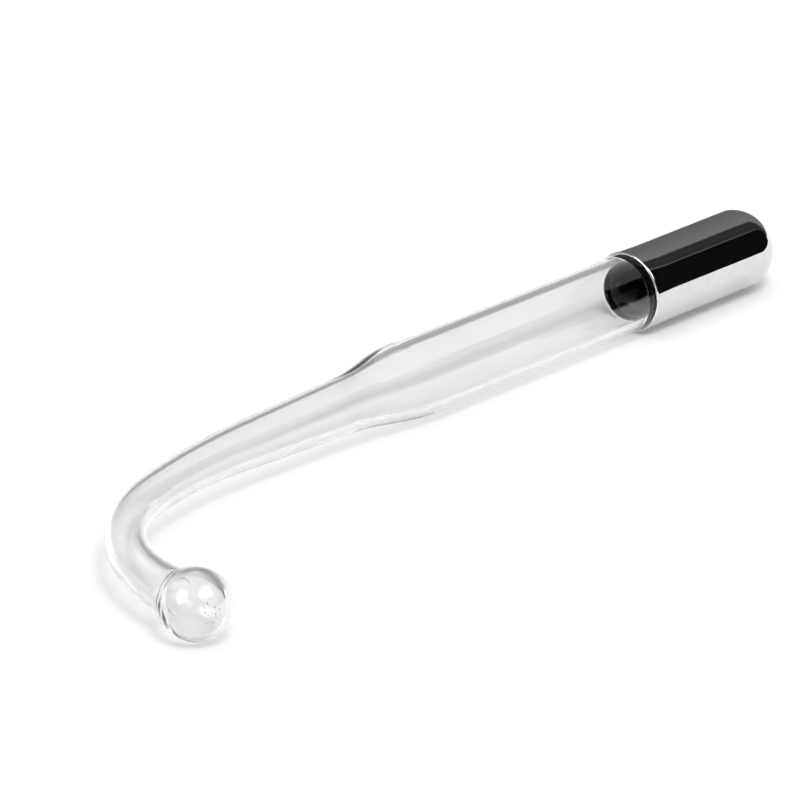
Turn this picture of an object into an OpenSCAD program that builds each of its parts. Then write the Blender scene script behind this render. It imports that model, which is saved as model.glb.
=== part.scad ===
// Plug-in glass electrode with a bent stem and a ball tip, lying on a table.
// The origin is the centre of the cap's mouth. +X runs along the plug, the glass runs to -X,
// and the stem hooks round towards -Y.

/* [Contact cap] */
// Outer diameter of the cap, which plugs into the handle's socket
cap_d = 11; // [9:0.1:11.4]
// Thickness of the cap's wall
cap_wall = 0.4; // [0.3:0.05:0.7]
// Length of the cap's straight wall, from the mouth to the round end
cap_straight = 21; // [17:0.5:30]

/* [Basing cement] */
// Thickness of the cement between the cap and the glass neck
cement_gap = 0.2; // [0.1:0.05:0.4]
// How far the cement stops short of the neck's end
cement_short = 2; // [0.5:0.5:6]

/* [Glass barrel] */
// Outer diameter of the barrel
barrel_d = 10.6; // [10:0.1:13]
// Thickness of the barrel's wall
barrel_wall = 1.2; // [0.8:0.05:2]
// Length of the barrel, from the cap's mouth to the shoulder
barrel_len = 41.5; // [25:0.5:70]
// Length of the sloping shoulder
shoulder_len = 12.5; // [6:0.5:20]
// How far the neck reaches into the cap
neck_len = 12; // [8:0.5:14]
// Thickness of the neck's wall and of the end seal
neck_wall = 1; // [0.6:0.05:1.6]
// Length of the slope between the barrel and its neck
neck_slope = 0.5; // [0.3:0.05:2]

/* [Bent stem] */
// Outer diameter of the stem where it meets the shoulder
stem_root_d = 7.6; // [6:0.1:9]
// Outer diameter of the stem along its bend
stem_d = 5.5; // [4:0.1:7]
// Thickness of the stem's wall
stem_wall = 0.9; // [0.6:0.05:1.4]
// Length of the straight tapering part
taper_len = 26.3; // [15:0.1:45]
// Radius of the bend
bend_r = 32; // [18:0.5:50]
// Angle of the bend
bend_angle = 79; // [40:1:90]

/* [Ball tip] */
// Outer diameter of the ball
ball_d = 9.4; // [7:0.1:14]
// Thickness of the ball's wall
ball_wall = 0.6; // [0.4:0.05:1.5]

/* [Lead-in] */
// Diameter of the wire
wire_d = 0.8; // [0.4:0.1:1.2]
// Length of bare wire inside the tube
wire_in = 4; // [2:0.5:8]
// Gap between the wire's end and the cap's round end, filled with solder
wire_stop = 0.3; // [0.2:0.1:0.6]
// Diameter of the glass bead on the wire
bead_d = 2.2; // [1.6:0.1:3]
// How far the bead stands out of the end seal on each side
bead_proud = 1; // [0.5:0.1:2]
// Diameter of the drop of solder in the cap's round end
solder_d = 3.2; // [2.4:0.1:4]

/* [Exhaust tip] */
// Diameter of the tip where it leaves the end seal
exhaust_d = 2; // [1.4:0.1:2.4]
// Diameter of the tip's rounded end
exhaust_end_d = 1.2; // [0.8:0.1:1.4]
// Diameter of the pump hole
exhaust_bore_d = 0.6; // [0.3:0.1:0.8]
// Length of the tip beyond the end seal's crown
exhaust_len = 1.8; // [1:0.1:2.5]
// Thickness of the glass that closes the tip
exhaust_close = 1; // [0.6:0.1:1.4]
// Space between the tip and the bead
exhaust_clear = 0.5; // [0.3:0.1:0.8]

/* [Hidden] */
$fn = 96;
shoulder_steps = 14;
glass_tint = [0.86, 0.91, 0.93];

cap_r = cap_d / 2;
cap_bore_r = cap_r - cap_wall;
cap_crown_x = cap_straight + cap_bore_r;

neck_r = cap_bore_r - cement_gap;
neck_bore_r = neck_r - neck_wall;
cement_end_x = neck_len - cement_short;
barrel_r = barrel_d / 2;
barrel_bore_r = barrel_r - barrel_wall;
shoulder_x = -barrel_len - shoulder_len;

stem_bore_d = stem_d - 2 * stem_wall;
root_r = stem_root_d / 2;
root_bore_r = root_r - stem_wall;
bend_x = shoulder_x - taper_len;
stem_end = [bend_x - bend_r * sin(bend_angle), bend_r * cos(bend_angle) - bend_r, 0];

// The ball's seat is the flat ring where the stem's outside meets the ball's outside.
ball_r = ball_d / 2;
ball_seat = sqrt(pow(ball_r, 2) - pow(stem_d / 2, 2));
ball_y = stem_end.y - ball_seat * sin(bend_angle);

// The hook rolls about the barrel's axis until the ball lies as low as the widest length.
rest_r = max(cap_r, barrel_r);
hook_roll = asin((rest_r - ball_r) / -ball_y);

seal_crown_x = neck_len + neck_r;
bead_start_x = neck_len + neck_bore_r - bead_proud;
bead_end_x = seal_crown_x + bead_proud;
exhaust_y = bead_d / 2 + exhaust_clear + exhaust_d / 2;
exhaust_end_x = seal_crown_x + exhaust_len - exhaust_end_d / 2;

// More than any radius or length, for cutting flat shapes in half
overall = cap_crown_x - bend_x + bend_r + ball_d;

function ease(t) = t * t * (3 - 2 * t);

// Half outline of the shoulder as [radius, x], from its wide end to its narrow end
function shoulder_line(wide_r, narrow_r) =
    [for (i = [0 : shoulder_steps])
        let (t = i / shoulder_steps)
        [wide_r + (narrow_r - wide_r) * ease(t), -barrel_len - shoulder_len * t]];

// Solid of revolution about X, from a flat shape drawn as [radius, x]
module turned() {
    rotate([0, 90, 0])
        rotate_extrude()
            intersection() {
                children();
                translate([0, -overall])
                    square([overall, 2 * overall]);
            }
}

// Round bar along X
module bar(d, from, to) {
    translate([from, 0, 0])
        rotate([0, 90, 0])
            cylinder(d = d, h = to - from);
}

// Solid shape of the barrel, its shoulder and its neck, for the outside and for the bore
module barrel_shape(wide_r, narrow_r, end_r) {
    turned()
        polygon(concat([[0, neck_len], [end_r, neck_len], [end_r, 0], [wide_r, -neck_slope]],
                       shoulder_line(wide_r, narrow_r),
                       [[0, shoulder_x]]));
}

// Solid shape of the stem's straight part, for the outside and for the bore
module taper_shape(root, along) {
    translate([shoulder_x, 0, 0])
        rotate([0, -90, 0])
            cylinder(d1 = root, d2 = along, h = taper_len);
}

// Places the stem and the ball at the hook's roll
module hooked() {
    rotate([hook_roll, 0, 0])
        children();
}

// Places the ball's centre at the origin, with the stem coming in from -X
module at_ball() {
    hooked()
        translate(stem_end)
            rotate([0, 0, 180 + bend_angle])
                translate([ball_seat, 0, 0])
                    children();
}

// Bar along X from the cap's mouth, with a hemispherical end
module round_ended(r) {
    rotate([0, 90, 0])
        cylinder(r = r, h = cap_straight);
    translate([cap_straight, 0, 0])
        sphere(r = r);
}

module contact_cap() {
    color("silver")
        difference() {
            round_ended(cap_r);
            round_ended(cap_bore_r);
        }
}

module basing_cement() {
    color("dimgray")
        difference() {
            turned()
                polygon([[0, -neck_slope], [barrel_r, -neck_slope], [barrel_r, 0], [cap_bore_r, 0],
                         [cap_bore_r, cement_end_x], [0, cement_end_x]]);
            barrel_shape(barrel_r, root_r, neck_r);
        }
}

module glass_barrel() {
    color(glass_tint)
        difference() {
            barrel_shape(barrel_r, root_r, neck_r);
            barrel_shape(barrel_bore_r, root_bore_r, neck_bore_r);
        }
}

module bent_stem() {
    color(glass_tint)
        hooked() {
            difference() {
                taper_shape(stem_root_d, stem_d);
                taper_shape(2 * root_bore_r, stem_bore_d);
            }
            translate([bend_x, -bend_r, 0])
                rotate([0, 0, 90])
                    rotate_extrude(angle = bend_angle)
                        translate([bend_r, 0])
                            difference() {
                                circle(d = stem_d);
                                circle(d = stem_bore_d);
                            }
        }
}

module ball_tip() {
    color(glass_tint)
        at_ball()
            turned()
                difference() {
                    circle(d = ball_d);
                    circle(d = ball_d - 2 * ball_wall);
                    translate([0, -ball_d])
                        square([stem_bore_d / 2, ball_d]);
                    translate([0, -ball_d - ball_seat])
                        square(ball_d);
                }
}

module end_seal() {
    color(glass_tint)
        difference() {
            intersection() {
                translate([neck_len, 0, 0])
                    sphere(r = neck_r);
                bar(2 * neck_r, neck_len, seal_crown_x);
            }
            translate([neck_len, 0, 0])
                sphere(r = neck_bore_r);
            bar(bead_d, neck_len, seal_crown_x);
            translate([0, exhaust_y, 0])
                bar(exhaust_bore_d, neck_len, seal_crown_x);
        }
}

module seal_bead() {
    color("lightblue")
        difference() {
            bar(bead_d, bead_start_x, bead_end_x);
            bar(wire_d, bead_start_x, bead_end_x);
        }
}

module lead_in_wire() {
    color("goldenrod")
        bar(wire_d, bead_start_x - wire_in, cap_crown_x - wire_stop);
}

module exhaust_tip() {
    color(glass_tint)
        difference() {
            translate([0, exhaust_y, 0]) {
                translate([neck_len, 0, 0])
                    rotate([0, 90, 0])
                        cylinder(d1 = exhaust_d, d2 = exhaust_end_d, h = exhaust_end_x - neck_len);
                translate([exhaust_end_x, 0, 0])
                    sphere(d = exhaust_end_d);
            }
            translate([neck_len, 0, 0])
                sphere(r = neck_r);
            translate([0, exhaust_y, 0])
                bar(exhaust_bore_d, neck_len, exhaust_end_x + exhaust_end_d / 2 - exhaust_close);
        }
}

module solder_bead() {
    color("gray")
        turned()
            difference() {
                intersection() {
                    translate([0, cap_crown_x])
                        circle(d = solder_d);
                    translate([0, cap_straight])
                        circle(r = cap_bore_r);
                }
                square([wire_d / 2, cap_crown_x - wire_stop]);
            }
}

contact_cap();
basing_cement();
glass_barrel();
bent_stem();
ball_tip();
end_seal();
seal_bead();
lead_in_wire();
exhaust_tip();
solder_bead();
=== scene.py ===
import math

import bmesh
import bpy
from mathutils import Matrix, Vector, noise


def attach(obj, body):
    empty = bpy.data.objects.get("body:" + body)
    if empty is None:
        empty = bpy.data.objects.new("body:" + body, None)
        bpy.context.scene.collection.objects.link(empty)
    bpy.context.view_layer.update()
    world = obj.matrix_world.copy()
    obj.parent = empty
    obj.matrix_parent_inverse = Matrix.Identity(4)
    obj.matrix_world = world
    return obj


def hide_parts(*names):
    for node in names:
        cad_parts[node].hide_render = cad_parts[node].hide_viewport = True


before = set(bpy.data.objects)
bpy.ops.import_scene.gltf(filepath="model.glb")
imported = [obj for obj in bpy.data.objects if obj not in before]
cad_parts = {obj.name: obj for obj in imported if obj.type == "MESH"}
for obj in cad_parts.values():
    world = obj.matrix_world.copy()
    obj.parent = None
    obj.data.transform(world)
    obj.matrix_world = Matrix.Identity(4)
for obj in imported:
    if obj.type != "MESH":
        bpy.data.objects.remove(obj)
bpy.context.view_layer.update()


# Glass envelope: the one hollow piece of clear glass that everything else is fixed to.
# A wide barrel is drawn down in the flame to a thin stem, the stem is bent to a hook, and
# a ball is blown at its tip. In the cap the barrel is drawn in to a neck with a round end.
mm = 0.001
ring_points = 128
neck_r = 4.9
neck_bore_r = 3.9
neck_len = 12.0
bead_hole_r = 1.12
step_start = 0.02
step_end = 0.4
bore_step_end = 0.8
barrel_r = 5.25
barrel_wall = 1.15
barrel_len = 42.2
shoulder_len = 12.4
root_r = 3.745
root_wall = 0.92
stem_wall = 0.8
taper_len = 18.2
bend_start_r = 3.12
bend_middle_r = 2.6
bend_end_r = 3.3
slow_bend_r = 75.8
slow_bend = math.radians(14.4)
tight_bend_r = 27.15
tight_bend = math.radians(68.9)
ball_run = 4.2
ball_r = 4.675
ball_wall = 0.8
ball_fillet = 1.5

# Stations along the tube, in millimetres from the cap's mouth.
mid_barrel = 10.0
shoulder_start = barrel_len
shoulder_end = shoulder_start + shoulder_len
bend_start = shoulder_end + taper_len
tight_start = bend_start + slow_bend_r * slow_bend
ball_at = tight_start + tight_bend_r * tight_bend + ball_run


def ease(s, start, end):
    """Goes smoothly from 0 to 1 between two stations."""
    t = min(max((s - start) / (end - start), 0.0), 1.0)
    return t * t * (3 - 2 * t)


def melt(a, b, soft):
    """The larger of two radii, with the corner between them melted to a fillet."""
    corner = max(soft - abs(a - b), 0.0) / soft
    return max(a, b) + corner * corner * soft / 4


def round_r(radius, off):
    """Radius of the ring that a ball has at this distance from its centre."""
    return math.sqrt(max(radius * radius - off * off, 0.0))


def stem_r(s):
    """Outer radius of barrel, shoulder and stem. The bend is pulled thinner in its middle."""
    if s < bend_start:
        narrow = root_r + (bend_start_r - root_r) * max(s - shoulder_end, 0.0) / taper_len
        return barrel_r + (narrow - barrel_r) * ease(s, shoulder_start, shoulder_end)
    u = (s - bend_start) / (ball_at - bend_start)
    ends = bend_start_r * (1 - u) * (1 - 2 * u) + bend_end_r * u * (2 * u - 1)
    return ends + bend_middle_r * 4 * u * (1 - u)


def outer_r(s):
    """Outer radius of the whole envelope."""
    if s < -neck_len:
        return round_r(neck_r, s + neck_len)
    if s < step_end:
        return neck_r + (barrel_r - neck_r) * ease(s, step_start, step_end)
    if s > ball_at:
        return round_r(ball_r, s - ball_at)
    return melt(stem_r(s), round_r(ball_r, s - ball_at), ball_fillet)


def bore_r(s):
    """Radius of the hollow inside the envelope. The wall is measured square to the outside."""
    if s < -neck_len:
        return round_r(neck_bore_r, s + neck_len)
    if s < bore_step_end:
        barrel_bore_r = barrel_r - barrel_wall
        return neck_bore_r + (barrel_bore_r - neck_bore_r) * ease(s, 0, bore_step_end)
    if s > ball_at:
        return round_r(ball_r - ball_wall, s - ball_at)
    wall = barrel_wall + (root_wall - barrel_wall) * ease(s, shoulder_start, shoulder_end)
    wall += (stem_wall - root_wall) * ease(s, shoulder_end, tight_start)
    slope = 0
    near = 0.2
    ball_level = ball_at - 0.5
    if s < ball_level:
        slope = (outer_r(s + near) - outer_r(s - near)) / (2 * near)
    return outer_r(s) - wall * math.sqrt(1 + slope * slope)


# The shoulder is drawn a little askew: its top lies further from the cap than its underside.
# The skew comes in along the barrel, mostly goes again in the shoulder, and dies out in the stem.
top_way = Vector((0, 0.51, 0.86))
barrel_skew = 0.25
root_skew = 0.09
skew_in = shoulder_start - 12.8
skew_full = shoulder_start - 0.8
skew_drop = shoulder_start + 1.2
skew_low = shoulder_end - 1.2
skew_fade = shoulder_end + 0.8
skew_out = shoulder_end + 11.8


def slant(s):
    """Leans the ring of glass at this station."""
    skew = barrel_skew * ease(s, skew_in, skew_full)
    skew -= (barrel_skew - root_skew) * ease(s, skew_drop, skew_low)
    skew -= root_skew * ease(s, skew_fade, skew_out)
    askew = Matrix.Identity(4)
    askew[0][1] = -top_way.y * skew
    askew[0][2] = -top_way.z * skew
    return askew


def spaced(start, end, steps):
    """Evenly spaced numbers from start to end, without the first."""
    return [start + (end - start) * i / steps for i in range(1, steps + 1)]


def straight(s):
    """A station on the barrel's straight axis, with its place."""
    return s, Matrix.Translation((-s * mm, 0, 0))


def bend_on(stations, radius, turn, steps):
    """Adds the stations of one bend after the last one."""
    chord = 2 * radius * math.sin(turn / steps / 2)
    half = Matrix.Rotation(turn / steps / 2, 4, "Z")
    step = half @ Matrix.Translation((-chord * mm, 0, 0)) @ half
    for i in range(steps):
        s, place = stations[-1]
        stations.append((s + radius * turn / steps, place @ step))


def first_ring(mesh, points, place):
    """Makes a ring around the barrel's axis, of radius 1 before its place scales it."""
    upright = Matrix.Rotation(math.pi / 2, 4, "Y")
    made = bmesh.ops.create_circle(mesh, segments=points, radius=1, matrix=place @ upright)
    return list({e for v in made["verts"] for e in v.link_edges})


def draw_out(mesh, ring, places):
    """Draws a ring out through these places, and returns the last ring."""
    for before, after in zip(places, places[1:]):
        grown = bmesh.ops.extrude_edge_only(mesh, edges=ring)["geom"]
        points = {g for g in grown if isinstance(g, bmesh.types.BMVert)}
        ring = [g for g in grown if isinstance(g, bmesh.types.BMEdge) and points.issuperset(g.verts)]
        bmesh.ops.transform(mesh, matrix=after @ before.inverted(), verts=list(points))
    return ring


def glass_skin(mesh, radius_at, seal_r, tip_r):
    """Makes the outside or the bore: drawn from mid-barrel to the ball's tip, and to the seal."""
    to_ball = [mid_barrel] + spaced(mid_barrel, shoulder_start, 16)
    to_ball += spaced(shoulder_start, shoulder_end, 32) + spaced(shoulder_end, bend_start, 14)
    to_ball = [straight(s) for s in to_ball]
    bend_on(to_ball, slow_bend_r, slow_bend, 14)
    bend_on(to_ball, tight_bend_r, tight_bend, 56)
    centre = to_ball[-1][1] @ Matrix.Translation((-ball_run * mm, 0, 0))
    for angle in spaced(0, math.pi, 60)[:-1]:
        off = -tip_r * math.cos(angle)
        if off > -ball_run:
            to_ball.append((ball_at + off, centre @ Matrix.Translation((-off * mm, 0, 0))))
    to_seal = [mid_barrel] + spaced(mid_barrel, bore_step_end, 5)
    to_seal += spaced(bore_step_end, step_start, 16) + spaced(step_start, -neck_len, 6)
    hole_angle = math.acos(bead_hole_r / seal_r)
    to_seal += [-neck_len - seal_r * math.sin(angle) for angle in spaced(0, hole_angle, 20)]
    to_seal = [straight(s) for s in to_seal]
    ball_way = [place @ slant(s) @ Matrix.Scale(radius_at(s) * mm, 4) for s, place in to_ball]
    seal_way = [place @ Matrix.Scale(radius_at(s) * mm, 4) for s, place in to_seal]
    first = first_ring(mesh, ring_points, ball_way[0])
    tip = draw_out(mesh, first, ball_way)
    tip_points = list({v for e in tip for v in e.verts})
    bmesh.ops.pointmerge(mesh, verts=tip_points, merge_co=centre @ Vector((-tip_r * mm, 0, 0)))
    return draw_out(mesh, first, seal_way), centre


envelope = bmesh.new()
outer_hole, ball_place = glass_skin(envelope, outer_r, neck_r, ball_r)
outside = set(envelope.verts)
bore_hole, ball_place = glass_skin(envelope, bore_r, neck_bore_r, ball_r - ball_wall)
bore_points = [v for v in envelope.verts if v not in outside]

# The ball was blown a little unevenly: its wall is thicker on the upper right, so its bore lies off centre.
bore_off = 0.28
bore_off_start = 2.5
bore_off_full = -2.0
thick_way = Vector((0.67, -0.34, 0.66)).normalized()
into_ball = ball_place.inverted()
for v in bore_points:
    out = into_ball @ v.co / mm
    if out.length < ball_r:
        v.co -= thick_way * bore_off * ease(out.x, bore_off_start, bore_off_full) * mm

# The glass sagged a little in the flame: under the shoulder and the stem's root its wall is thicker.
root_rise = 0.14
for v in bore_points:
    s = -v.co.x / mm
    rise = ease(s, shoulder_start, shoulder_end) - ease(s, shoulder_end, tight_start)
    v.co += top_way * root_rise * rise * mm
bmesh.ops.bridge_loops(envelope, edges=outer_hole + bore_hole)
bmesh.ops.recalc_face_normals(envelope, faces=envelope.faces[:])

# The hook is rolled about the barrel until the ball lies on the table with the cap.
cap_r = 5.5
hook_roll = math.asin((cap_r - ball_r) * mm / -ball_place.translation.y)
roll = Matrix.Rotation(hook_roll, 4, "X")
bmesh.ops.transform(envelope, matrix=roll, verts=envelope.verts[:])
ball_centre = roll @ ball_place.translation

# Seed: tiny bubbles that the flame left in the ball's wall, on the side away from the stem.
seed_count = 16
seed_depth = 0.2
seed_small_r = 0.06
seed_growth = 0.016
seed_spread = math.radians(19)
seed_turn = 2.4
seed_stray = 0.6
seed_way = Vector((-0.38, -0.914, 0.115)).normalized()
seed_side = seed_way.cross(Vector((0, 0, 1))).normalized()
for i in range(seed_count):
    lean = Matrix.Rotation(seed_spread * math.sqrt((i + 0.4) / seed_count), 3, seed_side)
    spread = Matrix.Rotation(i * seed_turn + seed_stray * math.sin(5.0 * i), 3, seed_way)
    seed_r = seed_small_r + seed_growth * (i * 7 % 4)
    seed_at = ball_centre + spread @ lean @ seed_way * (ball_r - seed_depth) * mm
    seed = bmesh.ops.create_icosphere(
        envelope, subdivisions=2, radius=seed_r * mm, matrix=Matrix.Translation(seed_at)
    )
    bmesh.ops.reverse_faces(envelope, faces=list({f for v in seed["verts"] for f in v.link_faces}))


def add_node(tree, kind, place, **options):
    """Adds one node to a material, a group or the world, and sets its own options."""
    made = tree.nodes.new(kind)
    made.location = place
    for key, value in options.items():
        setattr(made, key, value)
    return made


def add_range(tree, place, value, span, result, interpolation_type="LINEAR"):
    """Takes a value's span to another one, and returns what it gives."""
    made = add_node(tree, "ShaderNodeMapRange", place, interpolation_type=interpolation_type)
    made.inputs["From Min"].default_value = span[0]
    made.inputs["From Max"].default_value = span[1]
    made.inputs["To Min"].default_value = result[0]
    made.inputs["To Max"].default_value = result[1]
    tree.links.new(value, made.inputs["Value"])
    return made.outputs["Result"]


def add_blend(tree, place, amount, first, second):
    """Goes from one colour to another, each written out or taken from a node, and returns the mixture."""
    made = add_node(tree, "ShaderNodeMix", place, data_type="RGBA")
    tree.links.new(amount, made.inputs["Factor"])
    for key, colour in (("A", first), ("B", second)):
        if isinstance(colour, bpy.types.NodeSocket):
            tree.links.new(colour, made.inputs[key])
        else:
            made.inputs[key].default_value = colour
    return made.outputs["Result"]


def add_bump(tree, place, height, strength, distance):
    """Roughens the surface a little, and returns its normal."""
    made = add_node(tree, "ShaderNodeBump", place)
    made.inputs["Strength"].default_value = strength
    made.inputs["Distance"].default_value = distance
    tree.links.new(height, made.inputs["Height"])
    return made.outputs["Normal"]


def handling_marks():
    """Smudges left by hands, and fine streaks along the piece, for glass and polished metal."""
    group = bpy.data.node_groups.new("handling_marks", "ShaderNodeTree")
    face = group.interface
    face.new_socket("Vector", in_out="INPUT", socket_type="NodeSocketVector")
    face.new_socket("Smudge Scale", in_out="INPUT", socket_type="NodeSocketFloat")
    face.new_socket("Streak Scale", in_out="INPUT", socket_type="NodeSocketFloat")
    face.new_socket("Smudge", in_out="OUTPUT", socket_type="NodeSocketFloat")
    face.new_socket("Streak", in_out="OUTPUT", socket_type="NodeSocketFloat")
    given = add_node(group, "NodeGroupInput", (-800, 0))
    out = add_node(group, "NodeGroupOutput", (400, 0))
    cloud = add_node(group, "ShaderNodeTexNoise", (-500, 200))
    cloud.inputs["Detail"].default_value = 5
    cloud.inputs["Roughness"].default_value = 0.6
    group.links.new(given.outputs["Vector"], cloud.inputs["Vector"])
    group.links.new(given.outputs["Smudge Scale"], cloud.inputs["Scale"])
    smudge = add_range(group, (-200, 200), cloud.outputs["Fac"], (0.5, 0.78), (0, 1), "SMOOTHSTEP")
    group.links.new(smudge, out.inputs["Smudge"])
    stretch = add_node(group, "ShaderNodeMapping", (-650, -200))
    stretch.inputs["Scale"].default_value = (0.03, 1, 1)
    group.links.new(given.outputs["Vector"], stretch.inputs["Vector"])
    fine = add_node(group, "ShaderNodeTexNoise", (-450, -200))
    fine.inputs["Detail"].default_value = 3
    group.links.new(stretch.outputs["Vector"], fine.inputs["Vector"])
    group.links.new(given.outputs["Streak Scale"], fine.inputs["Scale"])
    streak = add_range(group, (-200, -200), fine.outputs["Fac"], (0.35, 0.65), (0, 1))
    group.links.new(streak, out.inputs["Streak"])
    return group


marks = handling_marks()


def add_marks(tree, smudge_scale, streak_scale):
    """Places the handling marks in a material, and returns its smudges and its streaks."""
    where = add_node(tree, "ShaderNodeTexCoord", (-1100, 0))
    worn = add_node(tree, "ShaderNodeGroup", (-850, 0), node_tree=marks)
    worn.inputs["Smudge Scale"].default_value = smudge_scale
    worn.inputs["Streak Scale"].default_value = streak_scale
    tree.links.new(where.outputs["Object"], worn.inputs["Vector"])
    return worn.outputs["Smudge"], worn.outputs["Streak"]


def new_finish(name):
    """Starts a material, and returns it with its nodes and its Principled shader."""
    material = bpy.data.materials.new(name)
    material.use_nodes = True
    tree = material.node_tree
    return material, tree, tree.nodes["Principled BSDF"]


def glass_finish(name, clear, tinted, smudge_scale, streak_scale):
    """Clear glass with the given colour, draw streaks and a few smudges. Lamps shine through it."""
    material, tree, body = new_finish(name)
    body.inputs["Transmission Weight"].default_value = 1
    body.inputs["IOR"].default_value = 1.49
    smudge, streak = add_marks(tree, smudge_scale, streak_scale)
    tint = add_blend(tree, (-500, 200), streak, (*clear, 1), (*tinted, 1))
    tree.links.new(tint, body.inputs["Base Color"])
    film = add_range(tree, (-500, 0), smudge, (0, 1), (0, 0.035))
    tree.links.new(film, body.inputs["Roughness"])
    drawn = add_bump(tree, (-500, -250), streak, 0.05, 0.00002)
    tree.links.new(drawn, body.inputs["Normal"])
    edge_on = add_node(tree, "ShaderNodeLayerWeight", (-300, -500)).outputs["Facing"]
    let_by = add_range(tree, (-100, -400), edge_on, (0.25, 0.95), (0.99, 0.32), "SMOOTHSTEP")
    lamp_light = add_node(tree, "ShaderNodeBsdfTransparent", (100, -300))
    tree.links.new(let_by, lamp_light.inputs["Color"])
    ray = add_node(tree, "ShaderNodeLightPath", (100, 500))
    either = add_node(tree, "ShaderNodeMixShader", (350, 100))
    tree.links.new(ray.outputs["Is Shadow Ray"], either.inputs["Fac"])
    tree.links.new(body.outputs["BSDF"], either.inputs[1])
    tree.links.new(lamp_light.outputs["BSDF"], either.inputs[2])
    tree.links.new(either.outputs["Shader"], tree.nodes["Material Output"].inputs["Surface"])
    return material


# The clear glass is a light grey that dims everything seen through it: painted shade for the dimmer table
# behind it.
clear_glass = glass_finish("clear_drawn_glass", (0.925, 0.925, 0.925), (0.91, 0.915, 0.915), 130, 900)


def settle(mesh, name, material, sharp=180):
    """Turns a finished bmesh into a smooth-shaded piece that rides with the electrode."""
    data = bpy.data.meshes.new(name)
    mesh.to_mesh(data)
    mesh.free()
    data.shade_smooth()
    data.set_sharp_from_angle(angle=math.radians(sharp))
    data.materials.append(material)
    piece = bpy.data.objects.new(name, data)
    bpy.context.collection.objects.link(piece)
    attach(piece, "root")
    return piece


glass_envelope = settle(envelope, "glass_envelope", clear_glass)
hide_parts("glass_barrel", "bent_stem", "ball_tip", "end_seal")


# Exhaust tip: the stub of the pump tube, fused to the end seal beside the wire.
# It is the same clear glass, melted shut in the flame once the air was out.
def dress(node, material):
    """Gives its finish to a piece that keeps the shape of its solid."""
    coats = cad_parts[node].data.materials
    coats.clear()
    coats.append(material)


dress("exhaust_tip", clear_glass)


# Seal bead: a short sleeve of bluish sealing glass, melted onto the wire before it goes in.
# It fuses into the hole in the end seal and keeps the wire gas tight there.
bead_glass = glass_finish("bluish_bead_glass", (0.72, 0.86, 0.93), (0.6, 0.78, 0.9), 900, 2500)
dress("seal_bead", bead_glass)


# Lead-in wire: bare copper-clad wire that carries the current from the cap into the tube.
# It is drawn wire, so fine streaks run along it, and the flame has browned it in patches.
wire_metal, tree, body = new_finish("browned_wire")
body.inputs["Metallic"].default_value = 1
smudge, streak = add_marks(tree, 500, 9000)
browned = add_blend(tree, (-500, 200), smudge, (0.72, 0.45, 0.2, 1), (0.25, 0.13, 0.06, 1))
tree.links.new(browned, body.inputs["Base Color"])
drawn = add_range(tree, (-500, 0), streak, (0, 1), (0.22, 0.42))
tree.links.new(drawn, body.inputs["Roughness"])
dress("lead_in_wire", wire_metal)


# Basing cement: a dark cement that fills the space between the glass neck and the cap.
# Its colour lies in light and dark streaks along the neck, painted sheen for the wedge-shaped
# reflections inside the cap's mouth, and in small patches. Its front edge, just inside the cap's mouth, is
# uneven.
cement_bore_r = neck_r - 0.02
cement_out_r = 5.09
cement_start = 1.3
cement_end = 10.0
cement_stops = [cement_start, 1.6, 4.0, 7.0, cement_end]
cement_points = 144
front_depth = 0.2
front_waves = 0.25
front_crumbs = 0.12

cement = bmesh.new()
profile = [(x, cement_bore_r) for x in cement_stops] + [(x, cement_out_r) for x in reversed(cement_stops)]
cement_way = [Matrix.Translation((x * mm, 0, 0)) @ Matrix.Scale(r * mm, 4) for x, r in profile]
cement_first = first_ring(cement, cement_points, cement_way[0])
cement_last = draw_out(cement, cement_first, cement_way)
bmesh.ops.bridge_loops(cement, edges=cement_first + cement_last)
bmesh.ops.recalc_face_normals(cement, faces=cement.faces[:])
for v in cement.verts:
    if v.co.x < (cement_start + front_depth) * mm:
        around = Vector((0, v.co.y, v.co.z)).normalized()
        uneven = noise.noise(around * 3.0) * front_waves + noise.noise(around * 11.0) * front_crumbs
        v.co.x += uneven * mm


def grey(level):
    """A neutral colour."""
    return level, level, level, 1


def add_noise(tree, place, where, scale, detail):
    """Lays a noise over the piece, and returns its strength."""
    made = add_node(tree, "ShaderNodeTexNoise", place)
    made.inputs["Scale"].default_value = scale
    made.inputs["Detail"].default_value = detail
    tree.links.new(where, made.inputs["Vector"])
    return made.outputs["Fac"]


cement_stuff, tree, body = new_finish("dark_cement")
body.inputs["Specular IOR Level"].default_value = 0.6
where = add_node(tree, "ShaderNodeTexCoord", (-1300, 0)).outputs["Object"]
along = add_node(tree, "ShaderNodeMapping", (-1100, 200))
along.inputs["Scale"].default_value = (0.02, 1, 1)
tree.links.new(where, along.inputs["Vector"])
# Painted sheen: these streaks along the neck stand in for reflections inside the cap's mouth.
painted_sheen_streaks = add_noise(tree, (-900, 200), along.outputs["Vector"], 330, 2)
cement_patches = add_node(tree, "ShaderNodeTexVoronoi", (-900, 500))
cement_patches.inputs["Scale"].default_value = 420
tree.links.new(where, cement_patches.inputs["Vector"])
sheen_and_patches = add_node(tree, "ShaderNodeMix", (-750, 350))
sheen_and_patches.inputs["Factor"].default_value = 0.5
tree.links.new(painted_sheen_streaks, sheen_and_patches.inputs["A"])
tree.links.new(cement_patches.outputs["Color"], sheen_and_patches.inputs["B"])
painted_sheen_ramp = add_node(tree, "ShaderNodeValToRGB", (-650, 200))
painted_sheen_ramp.color_ramp.elements[0].position = 0.4
painted_sheen_ramp.color_ramp.elements[0].color = grey(0.008)
painted_sheen_ramp.color_ramp.elements[1].position = 0.62
painted_sheen_ramp.color_ramp.elements[1].color = grey(0.11)
tree.links.new(sheen_and_patches.outputs["Result"], painted_sheen_ramp.inputs["Fac"])
tree.links.new(painted_sheen_ramp.outputs["Color"], body.inputs["Base Color"])
grit = add_noise(tree, (-900, -200), where, 4000, 4)
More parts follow.
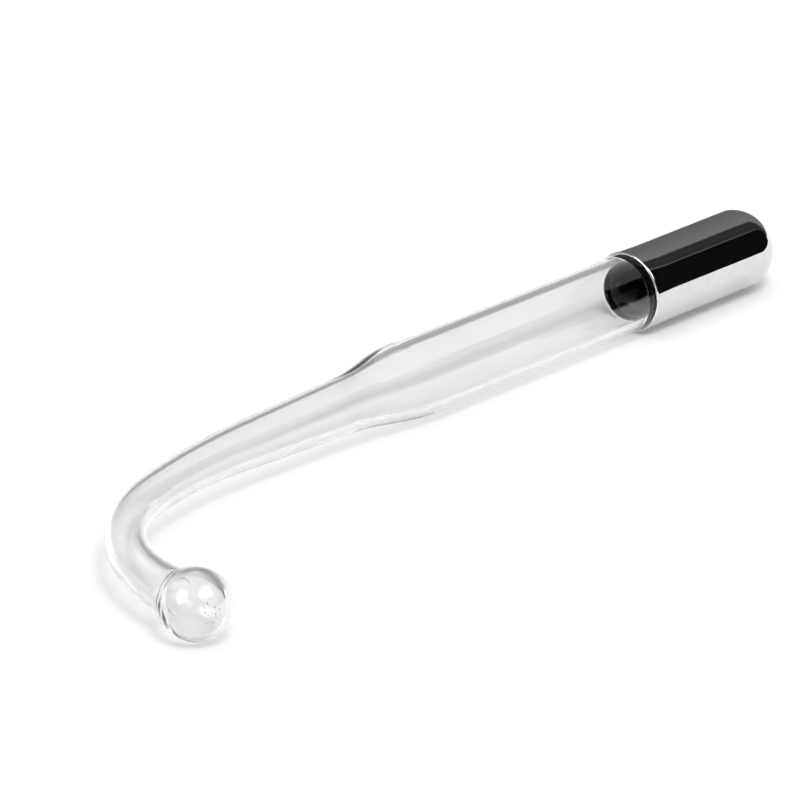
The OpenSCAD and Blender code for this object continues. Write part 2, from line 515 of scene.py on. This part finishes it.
matt = add_range(tree, (-600, -50), grit, (0, 1), (0.18, 0.42))
tree.links.new(matt, body.inputs["Roughness"])
grains = add_bump(tree, (-600, -350), grit, 0.4, 0.00006)
tree.links.new(grains, body.inputs["Normal"])

cement_ring = settle(cement, "cement_ring", cement_stuff, 50)
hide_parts("basing_cement")


# Contact cap: a thin metal cap, deep drawn to a round end, plated and polished to a mirror.
# It slides over the glass neck on its cement and plugs into the handle's socket.
cap_bore_r = 5.1
cap_straight = 21.15
cap_stops = (0.0, 3.0, 10.0, 18.0, cap_straight)
rim_round = 0.19

cap = bmesh.new()
rim_out = cap.verts.new((0, 0, cap_r * mm))
rim_in = cap.verts.new((0, 0, cap_bore_r * mm))
cap.edges.new((rim_out, rim_in))
for rim in (rim_out, rim_in):
    wall_end = rim
    for before, after in zip(cap_stops, cap_stops[1:]):
        wall_end = bmesh.ops.extrude_vert_indiv(cap, verts=[wall_end])["verts"][0]
        bmesh.ops.translate(cap, verts=[wall_end], vec=((after - before) * mm, 0, 0))
    bmesh.ops.spin(
        cap, geom=[wall_end], cent=(cap_straight * mm, 0, 0), axis=(0, 1, 0), angle=math.pi / 2, steps=40
    )
bmesh.ops.spin(
    cap, geom=cap.verts[:] + cap.edges[:], cent=(0, 0, 0), axis=(1, 0, 0), angle=2 * math.pi, steps=160,
    use_merge=True,
)
bmesh.ops.remove_doubles(cap, verts=cap.verts[:], dist=0.002 * mm)
bmesh.ops.recalc_face_normals(cap, faces=cap.faces[:])
mouth_edges = [e for e in cap.edges if all(abs(v.co.x) < 0.001 * mm for v in e.verts)]
rim_edges = [e for e in mouth_edges if abs(e.verts[0].co.length - e.verts[1].co.length) < 0.01 * mm]
bmesh.ops.bevel(
    cap, geom=rim_edges, offset=rim_round * mm, affect="EDGES", segments=6, profile=0.5, material=-1,
    clamp_overlap=True,
)

plating, tree, body = new_finish("polished_plating")
body.inputs["Metallic"].default_value = 1
smudge, streak = add_marks(tree, 260, 3500)
shine = add_blend(tree, (-500, 200), smudge, grey(0.68), grey(0.6))
tree.links.new(shine, body.inputs["Base Color"])
hazy = add_range(tree, (-500, 0), smudge, (0, 1), (0.03, 0.09))
tree.links.new(hazy, body.inputs["Roughness"])
where = add_node(tree, "ShaderNodeTexCoord", (-1100, -300)).outputs["Object"]
ripple = add_noise(tree, (-850, -300), where, 1500, 3)
peel = add_bump(tree, (-500, -300), ripple, 0.06, 0.00003)
tree.links.new(peel, body.inputs["Normal"])

plated_cap = settle(cap, "plated_cap", plating, 40)
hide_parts("contact_cap")


# Solder bead: the drop of solder that joins the wire to the inside of the cap's round end.
# It has cooled dull, with a slightly crazed skin.
solder_metal, tree, body = new_finish("dull_solder")
body.inputs["Metallic"].default_value = 1
where = add_node(tree, "ShaderNodeTexCoord", (-1100, 0)).outputs["Object"]
skin = add_noise(tree, (-850, 0), where, 1800, 5)
dull = add_node(tree, "ShaderNodeValToRGB", (-550, 200))
dull.color_ramp.elements[0].color = (0.32, 0.32, 0.33, 1)
dull.color_ramp.elements[1].color = grey(0.62)
tree.links.new(skin, dull.inputs["Fac"])
tree.links.new(dull.outputs["Color"], body.inputs["Base Color"])
crazed = add_range(tree, (-550, -100), skin, (0, 1), (0.35, 0.6))
tree.links.new(crazed, body.inputs["Roughness"])
dress("solder_bead", solder_metal)


# Table: a plain white table top that the electrode lies on, touching at the cap and the ball.
# It is lit by the lamps and keeps the shadow. Further off it is a white that needs no lamp, and
# under the hook it carries a soft patch of painted light, seen only through the glass.
middle = Vector((-0.06, -0.015, 0))
table_r = 3.0
table_gap = 0.01
lit_centre = (-0.09, -0.05, 0)
lit_reach = 0.6
lit_glow = 0.09
painted_light_centre = (-0.097, 0, 0)
painted_light_reach = (0.006, 0.014)
painted_light_strength = 0.33


def stand(mesh, name, material):
    """Turns a finished bmesh into a thing of the studio, which is no part of the electrode."""
    data = bpy.data.meshes.new(name)
    mesh.to_mesh(data)
    mesh.free()
    data.materials.append(material)
    thing = bpy.data.objects.new(name, data)
    bpy.context.collection.objects.link(thing)
    return thing


def add_math(tree, place, operation, first, second, use_clamp=False):
    """Works out a value from two others, and returns it."""
    made = add_node(tree, "ShaderNodeMath", place, operation=operation, use_clamp=use_clamp)
    tree.links.new(first, made.inputs[0])
    tree.links.new(second, made.inputs[1])
    return made.outputs["Value"]


def add_distance(tree, place, where, centre):
    """Measures how far a place is from this centre, and returns it."""
    made = add_node(tree, "ShaderNodeVectorMath", place, operation="DISTANCE")
    made.inputs[1].default_value = centre
    tree.links.new(where, made.inputs[0])
    return made.outputs["Value"]


table_white, tree, body = new_finish("table_white")
body.inputs["Base Color"].default_value = grey(0.9)
body.inputs["Roughness"].default_value = 1
body.inputs["Specular IOR Level"].default_value = 0
where = add_node(tree, "ShaderNodeTexCoord", (-1100, -300)).outputs["Object"]
ray = add_node(tree, "ShaderNodeLightPath", (-1100, -600)).outputs
from_middle = add_distance(tree, (-900, -300), where, lit_centre)
far = add_range(tree, (-700, -300), from_middle, (0, lit_reach), (lit_glow, 1))
in_part = add_math(tree, (-900, -600), "MAXIMUM", ray["Is Glossy Ray"], ray["Is Transmission Ray"])
seen = add_math(tree, (-700, -600), "MAXIMUM", ray["Is Camera Ray"], in_part)
far_white = add_math(tree, (-500, -450), "MULTIPLY", far, seen)
# Painted light: extra glow on the table under the hook, seen only through the glass, lightens the tube's
# shadow there.
from_painted_light = add_distance(tree, (-900, -900), where, painted_light_centre)
painted_light_falloff = add_range(tree, (-700, -900), from_painted_light, painted_light_reach, (painted_light_strength, 0), "SMOOTHSTEP")
painted_light_through_glass = add_math(tree, (-500, -750), "MULTIPLY", painted_light_falloff, ray["Is Transmission Ray"])
white = add_math(tree, (-400, -600), "ADD", far_white, painted_light_through_glass)
glow = add_node(tree, "ShaderNodeEmission", (-250, -300))
tree.links.new(white, glow.inputs["Strength"])
lit_and_glow = add_node(tree, "ShaderNodeAddShader", (300, 0))
tree.links.new(body.outputs["BSDF"], lit_and_glow.inputs[0])
tree.links.new(glow.outputs["Emission"], lit_and_glow.inputs[1])
tree.links.new(lit_and_glow.outputs["Shader"], tree.nodes["Material Output"].inputs["Surface"])

table_top = bmesh.new()
table_place = Matrix.Translation(middle - Vector((0, 0, (cap_r + table_gap) * mm)))
bmesh.ops.create_circle(table_top, cap_ends=True, segments=96, radius=table_r, matrix=table_place)
stand(table_top, "table_top", table_white)


# Room: a grey wall behind the table and black cloth in front of it, with a wide and a narrow slit.
# Polished metal shows them, dimmed. For glass alone the ceiling, the back and the left are pale, and
# the camera's side is darker, so that the glass keeps its edges. At the horizon the room is white.
left_grey = 0.75
ceiling_grey = 0.8
mirror_dim = 0.55
camera_side = (-0.68, -0.73, 0)

# How pale the walls are, from 0 in front of the table to 1 behind it.
cloth_end = (0.31, 0.016)
wide_slit = ((0.318, 0.25), (0.328, 0.25), (0.338, 0.07))
narrow_slit = ((0.41, 0.06), (0.418, 0.13), (0.426, 0.06))
grey_wall = ((0.495, 0.07), (0.52, 0.42), (0.65, 0.38))
far_wall = (0.85, 0.29)

room = bpy.data.worlds.new("studio_room")
bpy.context.scene.world = room
room.use_nodes = True
room.cycles_visibility.diffuse = False
tree = room.node_tree
ray = add_node(tree, "ShaderNodeLightPath", (-1100, -500)).outputs
way = add_node(tree, "ShaderNodeTexCoord", (-1100, 0)).outputs["Generated"]
split = add_node(tree, "ShaderNodeSeparateXYZ", (-900, 0))
tree.links.new(way, split.inputs["Vector"])
across, depth, height = split.outputs
backward = add_range(tree, (-700, 200), depth, (-1, 1), (0, 1))
walls = add_node(tree, "ShaderNodeValToRGB", (-500, 200))
tree.links.new(backward, walls.inputs["Fac"])
ramp = walls.color_ramp
ramp.elements[0].position = cloth_end[0]
ramp.elements[0].color = grey(cloth_end[1])
ramp.elements[1].position = far_wall[0]
ramp.elements[1].color = grey(far_wall[1])
for spot, level in wide_slit + narrow_slit + grey_wall:
    ramp.elements.new(spot).color = grey(level)

facing = add_node(tree, "ShaderNodeVectorMath", (-900, 1700), operation="DOT_PRODUCT")
facing.inputs[1].default_value = camera_side
tree.links.new(way, facing.inputs[0])
off_camera = add_range(tree, (-700, 1700), facing.outputs["Value"], (0.35, 0.75), (1, 0.3), "SMOOTHSTEP")
left = add_range(tree, (-700, 500), across, (-0.1, -0.5), (0, 1), "SMOOTHSTEP")
left_side = add_math(tree, (-500, 500), "MULTIPLY", left, off_camera)
sides = add_blend(tree, (-250, 350), left_side, walls.outputs["Color"], grey(left_grey))

upper = add_range(tree, (-700, 800), height, (0.3, 0.55), (0, 1), "SMOOTHSTEP")
behind = add_range(tree, (-700, 1400), depth, (0.45, 0.65), (0, 0.25), "SMOOTHSTEP")
beside = add_range(tree, (-700, 1100), across, (0.62, 0.35), (0, 1), "SMOOTHSTEP")
over = add_math(tree, (-500, 1400), "MAXIMUM", upper, behind)
aside = add_math(tree, (-500, 1100), "MULTIPLY", beside, off_camera)
pale = add_math(tree, (-500, 900), "MAXIMUM", over, aside)
mirrored = ray["Is Glossy Ray"]
through = ray["Is Transmission Ray"]
in_metal = add_math(tree, (-900, -500), "SUBTRACT", mirrored, through, use_clamp=True)
in_glass = add_math(tree, (-300, 900), "SUBTRACT", pale, in_metal, use_clamp=True)
ceiling = add_blend(tree, (-100, 600), in_glass, sides, grey(ceiling_grey))

horizon = add_range(tree, (-700, -200), height, (0.045, 0.07), (0, 1), "SMOOTHSTEP")
surround = add_blend(tree, (-250, 100), horizon, grey(1), ceiling)
tree.links.new(surround, tree.nodes["Background"].inputs["Color"])
metal_above = add_math(tree, (-700, -500), "MULTIPLY", in_metal, horizon)
dim = add_range(tree, (-500, -500), metal_above, (0, 1), (1, mirror_dim))
tree.links.new(dim, tree.nodes["Background"].inputs["Strength"])


# Black card: a stiff card that stands on the table to the right, out of the picture.
# It darkens the cap's side and draws the glass's right-hand edges. It takes no light away.
card_at = (0.2, -0.06, 0.047)
card_half_len = 0.17
card_half_height = 0.052


def show_in_part_only(thing):
    """Lets a thing of the studio show only in the electrode's metal and glass."""
    thing.visible_camera = False
    thing.visible_diffuse = False
    thing.visible_shadow = False


card_black, tree, body = new_finish("card_black")
body.inputs["Base Color"].default_value = grey(0.012)
body.inputs["Roughness"].default_value = 1
body.inputs["Specular IOR Level"].default_value = 0

card_mesh = bmesh.new()
card_size = Matrix.Diagonal((card_half_len, card_half_height, 1, 1))
card_place = Matrix.Translation(card_at) @ Matrix.Rotation(math.pi / 2, 4, "X") @ card_size
bmesh.ops.create_grid(card_mesh, x_segments=8, y_segments=3, size=1, matrix=card_place)
show_in_part_only(stand(card_mesh, "black_card", card_black))


# Lamps: a wide pale sheet overhead gives most of the light, and the soft shadow under the part.
# Two soft boxes stand above the camera, left and right of it. The left one is the smallest lamp, so
# it draws the sharper part of the tube's shadow.
lamp_far = 0.8
for name, way, size, power in (
    ("left_soft_box", Vector((-0.30, -0.50, 0.82)), 0.2, 2.6),
    ("right_soft_box", Vector((0.08, -0.60, 0.75)), 0.5, 0.5),
    ("overhead_sheet", Vector((-0.05, -0.2, 1.0)), 2.0, 12.0),
):
    lamp = bpy.data.lights.new(name, "AREA")
    lamp.energy = power
    lamp.size = size
    lamp.cycles.use_multiple_importance_sampling = False
    box = bpy.data.objects.new(name, lamp)
    box.location = middle + way.normalized() * lamp_far
    box.rotation_euler = way.to_track_quat("Z", "Y").to_euler()
    box.visible_glossy = False
    box.visible_transmission = False
    bpy.context.collection.objects.link(box)

# Two round cloth fronts, bright in the middle and dark at the edge, make the highlights on the ball.
cloth_far = 0.85
cloth_r = 0.38
cloth_bright_r = 0.14
cloth_strength = 5.5
cloth, tree, body = new_finish("lit_cloth")
tree.nodes.remove(body)
where = add_node(tree, "ShaderNodeTexCoord", (-900, 0)).outputs["Object"]
from_centre = add_distance(tree, (-700, 0), where, (0, 0, 0))
fade = add_range(tree, (-500, 0), from_centre, (cloth_bright_r, cloth_r), (cloth_strength, 0), "SMOOTHSTEP")
shining = add_node(tree, "ShaderNodeEmission", (-250, 0))
tree.links.new(fade, shining.inputs["Strength"])
tree.links.new(shining.outputs["Emission"], tree.nodes["Material Output"].inputs["Surface"])
for name, way in (
    ("left_cloth", Vector((-0.78, 0.2, 0.58))),
    ("right_cloth", Vector((0.03, -0.60, 0.80))),
):
    disc = bmesh.new()
    bmesh.ops.create_circle(disc, cap_ends=True, segments=48, radius=cloth_r)
    cloth_front = stand(disc, name, cloth)
    cloth_front.location = middle + way.normalized() * cloth_far
    cloth_front.rotation_euler = way.to_track_quat("Z", "Y").to_euler()
    show_in_part_only(cloth_front)

# Light goes round in the glass walls many times before it leaves them.
bounces = 128
bpy.context.scene.cycles.max_bounces = bounces
bpy.context.scene.cycles.glossy_bounces = bounces
bpy.context.scene.cycles.transmission_bounces = bounces
bpy.context.scene.cycles.caustics_refractive = False
bpy.context.scene.cycles.caustics_reflective = False


# Camera: a long lens, from the front left and above, as the photograph was taken.
# It stands far off, so the near end of the electrode looks hardly larger than the far end.
azimuth = math.radians(-47.136)
elevation = math.radians(21.908)
camera_right = -0.029965
camera_up = -0.014214
camera_far = 1.2
back = Vector((
    math.sin(azimuth) * math.cos(elevation), -math.cos(azimuth) * math.cos(elevation), math.sin(elevation),
))
right = Vector((math.cos(azimuth), math.sin(azimuth), 0))
up = back.cross(right)
lens = bpy.data.cameras.new("camera")
lens.sensor_width = 36
lens.lens = 409.4
camera = bpy.data.objects.new("camera", lens)
camera.location = right * camera_right + up * camera_up + back * camera_far
camera.rotation_euler = (-back).to_track_quat("-Z", "Y").to_euler()
bpy.context.collection.objects.link(camera)
bpy.context.scene.camera = camera
bpy.context.scene.view_settings.view_transform = "Standard"
